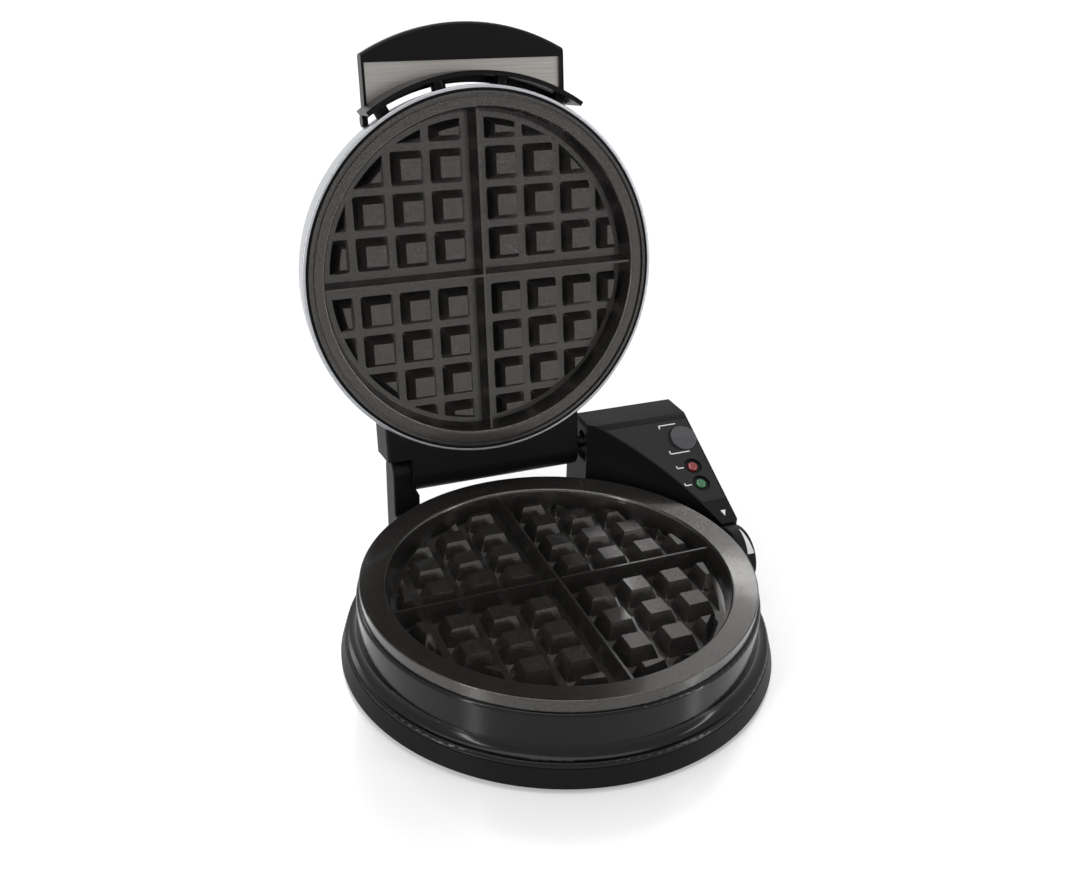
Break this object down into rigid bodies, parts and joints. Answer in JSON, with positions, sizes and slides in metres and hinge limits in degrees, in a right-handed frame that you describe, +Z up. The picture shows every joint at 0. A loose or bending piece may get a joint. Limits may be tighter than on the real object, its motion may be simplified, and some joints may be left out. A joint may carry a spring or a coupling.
{
  "type": "round waffle maker",
  "caption": "Round hinged-lid belgian waffle maker standing open, with gridded cooking plates, side control tower, colour dial and curved lid handle.",
  "frame": {"origin": "on the table, under the middle of the round cooking plates", "axes": "+X to the waffle maker's right, the control tower's side, +Y to its back, the hinge's side, +Z up"},
  "size_m": [0.2361, 0.2719, 0.2963],
  "materials": {
    "black_plastic": "fine satin texture",
    "gloss_black": "polished",
    "label_black": "satin",
    "dial_black": "satin with a white wedge printed on the rim",
    "nonstick_aluminium": "speckled grey non-stick coating",
    "lid_steel": "brushed",
    "element_steel": "heat dulled",
    "pan_steel": "plain sheet",
    "rod_steel": "ground",
    "screw_steel": "zinc plated",
    "foot_rubber": "matte",
    "sensor_plastic": "plain",
    "board_green": "lacquered",
    "red_lens": "clear tinted",
    "green_lens": "clear tinted",
    "lamp_glass": "clear"
  },
  "bodies": {
    "base": {"base_pan": "black_plastic", "base_housing": "gloss_black", "base_screws": "screw_steel", "rubber_feet": "foot_rubber", "lower_grid_plate": "nonstick_aluminium", "lower_heating_element": "element_steel", "lower_reflector": "pan_steel", "lower_spacers": "screw_steel", "lower_plate_screws": "screw_steel", "heat_sensor": "sensor_plastic", "hinge_post": "black_plastic", "control_housing": "gloss_black", "control_label_plate": "label_black", "power_lamp_lens": "red_lens", "ready_lamp_lens": "green_lens", "indicator_lamps": "lamp_glass", "circuit_board": "board_green", "sounder": "black_plastic", "texture_switch": "black_plastic", "colour_control": "sensor_plastic", "cord_gland": "foot_rubber", "terminal_block": "sensor_plastic"},
    "texture_rocker": {"texture_rocker": "gloss_black"},
    "colour_dial": {"colour_dial": "dial_black", "dial_shaft": "rod_steel"},
    "hinge_rod": {"hinge_rod": "rod_steel"},
    "lid": {"lid_shell": "lid_steel", "lid_bezel": "black_plastic", "upper_grid_plate": "nonstick_aluminium", "upper_rim_screws": "screw_steel", "upper_heating_element": "element_steel", "upper_reflector": "pan_steel", "upper_spacers": "screw_steel", "upper_plate_screws": "screw_steel", "hinge_bridge": "black_plastic", "handle": "gloss_black", "handle_plate": "lid_steel", "lid_screws": "screw_steel"}
  },
  "joints": [
    {"name": "lid_float", "type": "slide", "parent": "base", "child": "hinge_rod", "axis": [0, 0, 1], "range_m": [0, 0.003]},
    {"name": "lid_hinge", "type": "hinge", "parent": "hinge_rod", "child": "lid", "pos_m": [0, 0.11, 0.05675], "axis": [1, 0, 0], "range_deg": [0, 98.5]},
    {"name": "texture_tilt", "type": "hinge", "parent": "base", "child": "texture_rocker", "pos_m": [0.1126, 0.07835, 0.06208], "axis": [-1, 0, 0], "range_deg": [0, 10]},
    {"name": "colour_turn", "type": "hinge", "parent": "base", "child": "colour_dial", "pos_m": [0.109, 0.011, 0.0214], "axis": [-1, 0, 0], "range_deg": [0, 55]}
  ]
}
